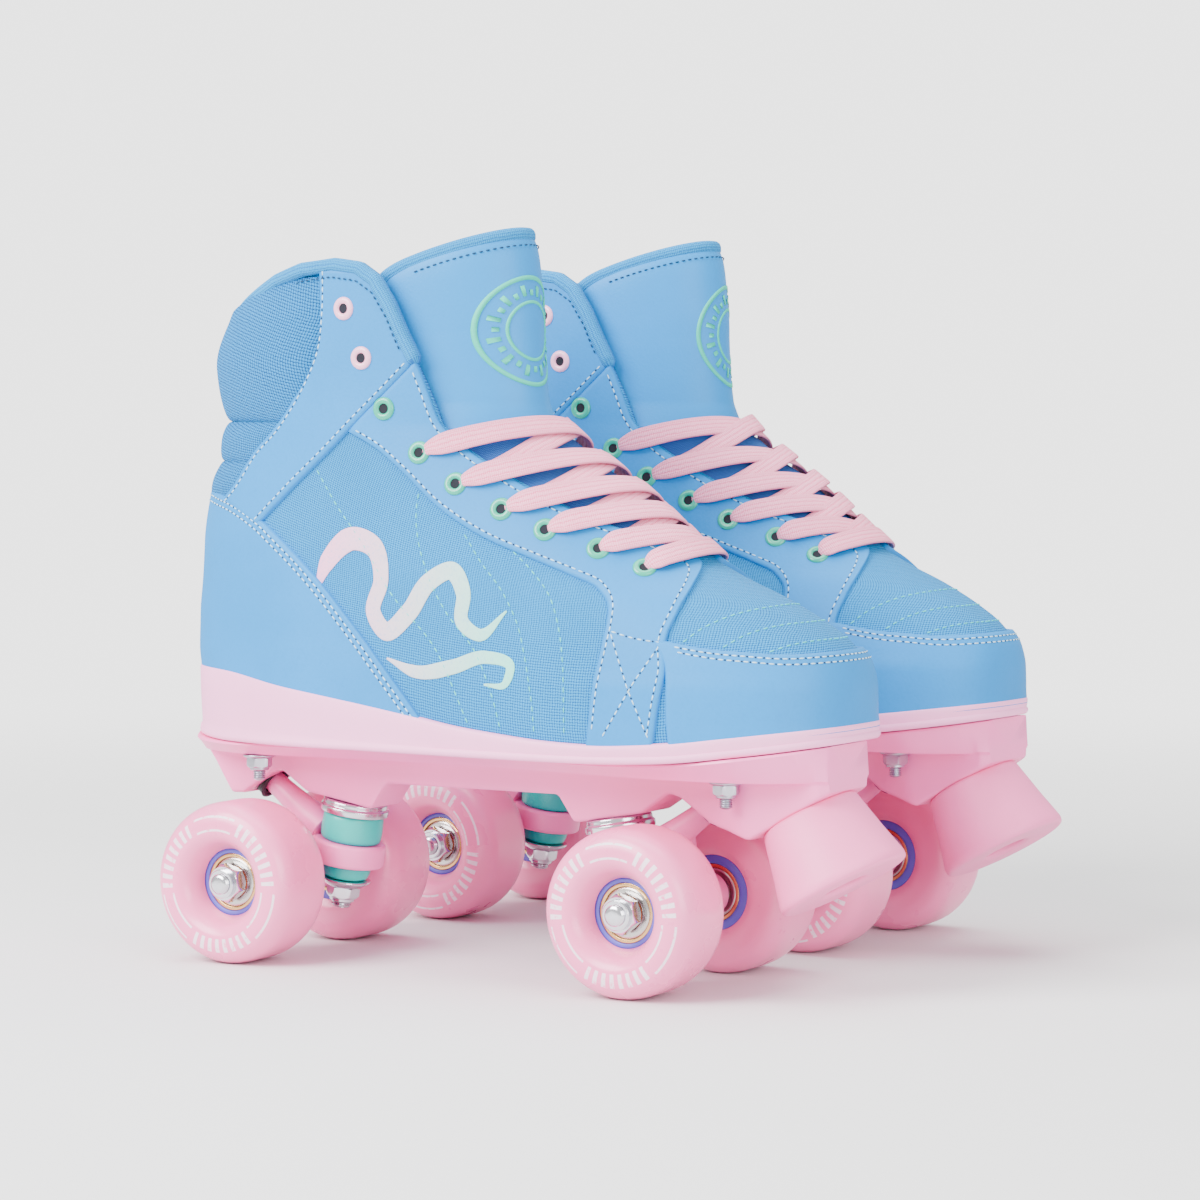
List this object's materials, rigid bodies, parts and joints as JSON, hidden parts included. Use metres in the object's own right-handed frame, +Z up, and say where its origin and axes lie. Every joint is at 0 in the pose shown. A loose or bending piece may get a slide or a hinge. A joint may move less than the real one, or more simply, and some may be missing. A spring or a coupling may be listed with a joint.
{
  "type": "quad roller skates",
  "caption": "High-top lace-up quad roller skates: padded boots, moulded plates, cushioned tilting trucks, free-turning wheels and angled toe stops.",
  "frame": {"origin": "on the floor under the middle of the pair's bounding box, between the two skates", "axes": "+X towards the toes, +Y towards the left skate, +Z up"},
  "size_m": [0.3, 0.2524, 0.278],
  "materials": {
    "upper": "fine-grained sky-blue leather with woven panels",
    "tongue": "soft padded, satin",
    "lace": "flat woven",
    "insole": "matt",
    "outsole": "satin",
    "plate": "semi-gloss moulded",
    "toe_stop": "satin",
    "steel": "plated",
    "cushion": "satin",
    "tyre": "glossy cast urethane",
    "hub": "glossy"
  },
  "bodies": {
    "boots": {"right_upper": "upper", "right_tongue": "tongue", "right_lace": "lace", "right_insole": "insole", "right_outsole": "outsole", "right_plate": "plate", "right_toe_stop": "toe_stop", "right_toe_stop_bolt": "steel", "right_mounting_bolt_front_outer": "steel", "right_mounting_bolt_front_inner": "steel", "right_mounting_bolt_rear_outer": "steel", "right_mounting_bolt_rear_inner": "steel", "right_kingpin_front": "steel", "right_upper_cushion_front": "cushion", "right_lower_cushion_front": "cushion", "right_kingpin_rear": "steel", "right_upper_cushion_rear": "cushion", "right_lower_cushion_rear": "cushion", "left_upper": "upper", "left_tongue": "tongue", "left_lace": "lace", "left_insole": "insole", "left_outsole": "outsole", "left_plate": "plate", "left_toe_stop": "toe_stop", "left_toe_stop_bolt": "steel", "left_mounting_bolt_front_outer": "steel", "left_mounting_bolt_front_inner": "steel", "left_mounting_bolt_rear_outer": "steel", "left_mounting_bolt_rear_inner": "steel", "left_kingpin_front": "steel", "left_upper_cushion_front": "cushion", "left_lower_cushion_front": "cushion", "left_kingpin_rear": "steel", "left_upper_cushion_rear": "cushion", "left_lower_cushion_rear": "cushion"},
    "right_front_truck": {"right_front_hanger": "plate", "right_front_axle": "steel"},
    "right_front_outer_wheel": {"right_front_outer_tyre": "tyre", "right_front_outer_hub": "hub"},
    "right_front_inner_wheel": {"right_front_inner_tyre": "tyre", "right_front_inner_hub": "hub"},
    "right_rear_truck": {"right_rear_hanger": "plate", "right_rear_axle": "steel"},
    "right_rear_outer_wheel": {"right_rear_outer_tyre": "tyre", "right_rear_outer_hub": "hub"},
    "right_rear_inner_wheel": {"right_rear_inner_tyre": "tyre", "right_rear_inner_hub": "hub"},
    "left_front_truck": {"left_front_hanger": "plate", "left_front_axle": "steel"},
    "left_front_outer_wheel": {"left_front_outer_tyre": "tyre", "left_front_outer_hub": "hub"},
    "left_front_inner_wheel": {"left_front_inner_tyre": "tyre", "left_front_inner_hub": "hub"},
    "left_rear_truck": {"left_rear_hanger": "plate", "left_rear_axle": "steel"},
    "left_rear_outer_wheel": {"left_rear_outer_tyre": "tyre", "left_rear_outer_hub": "hub"},
    "left_rear_inner_wheel": {"left_rear_inner_tyre": "tyre", "left_rear_inner_hub": "hub"}
  },
  "joints": [
    {"name": "right_front_truck_tilt", "type": "hinge", "parent": "boots", "child": "right_front_truck", "pos_m": [0.03791, -0.06847, 0.03982], "axis": [0.8072, 0.0197, 0.5899], "range_deg": [-8, 8], "stiffness_Nm_per_rad": 20, "deforming": ["right_upper_cushion_front", "right_lower_cushion_front"]},
    {"name": "right_front_outer_wheel_spin", "type": "hinge", "parent": "right_front_truck", "child": "right_front_outer_wheel", "pos_m": [0.06311, -0.10487, 0.031], "axis": [-0.0244, 0.9997, 0], "continuous": true},
    {"name": "right_front_inner_wheel_spin", "type": "hinge", "parent": "right_front_truck", "child": "right_front_inner_wheel", "pos_m": [0.0613, -0.03089, 0.031], "axis": [-0.0244, 0.9997, 0], "continuous": true},
    {"name": "right_rear_truck_tilt", "type": "hinge", "parent": "boots", "child": "right_rear_truck", "pos_m": [-0.08695, -0.07153, 0.03982], "axis": [-0.8072, -0.0197, 0.5899], "range_deg": [-8, 8], "stiffness_Nm_per_rad": 20, "deforming": ["right_upper_cushion_rear", "right_lower_cushion_rear"]},
    {"name": "right_rear_outer_wheel_spin", "type": "hinge", "parent": "right_rear_truck", "child": "right_rear_outer_wheel", "pos_m": [-0.11034, -0.10911, 0.031], "axis": [-0.0244, 0.9997, 0], "continuous": true},
    {"name": "right_rear_inner_wheel_spin", "type": "hinge", "parent": "right_rear_truck", "child": "right_rear_inner_wheel", "pos_m": [-0.11215, -0.03513, 0.031], "axis": [-0.0244, 0.9997, 0], "continuous": true},
    {"name": "left_front_truck_tilt", "type": "hinge", "parent": "boots", "child": "left_front_truck", "pos_m": [0.03791, 0.06847, 0.03982], "axis": [0.8072, -0.0197, 0.5899], "range_deg": [-8, 8], "stiffness_Nm_per_rad": 20, "deforming": ["left_upper_cushion_front", "left_lower_cushion_front"]},
    {"name": "left_front_outer_wheel_spin", "type": "hinge", "parent": "left_front_truck", "child": "left_front_outer_wheel", "pos_m": [0.06311, 0.10487, 0.031], "axis": [-0.0244, -0.9997, 0], "continuous": true},
    {"name": "left_front_inner_wheel_spin", "type": "hinge", "parent": "left_front_truck", "child": "left_front_inner_wheel", "pos_m": [0.0613, 0.03089, 0.031], "axis": [-0.0244, -0.9997, 0], "continuous": true},
    {"name": "left_rear_truck_tilt", "type": "hinge", "parent": "boots", "child": "left_rear_truck", "pos_m": [-0.08695, 0.07153, 0.03982], "axis": [-0.8072, 0.0197, 0.5899], "range_deg": [-8, 8], "stiffness_Nm_per_rad": 20, "deforming": ["left_upper_cushion_rear", "left_lower_cushion_rear"]},
    {"name": "left_rear_outer_wheel_spin", "type": "hinge", "parent": "left_rear_truck", "child": "left_rear_outer_wheel", "pos_m": [-0.11034, 0.10911, 0.031], "axis": [-0.0244, -0.9997, 0], "continuous": true},
    {"name": "left_rear_inner_wheel_spin", "type": "hinge", "parent": "left_rear_truck", "child": "left_rear_inner_wheel", "pos_m": [-0.11215, 0.03513, 0.031], "axis": [-0.0244, -0.9997, 0], "continuous": true}
  ]
}
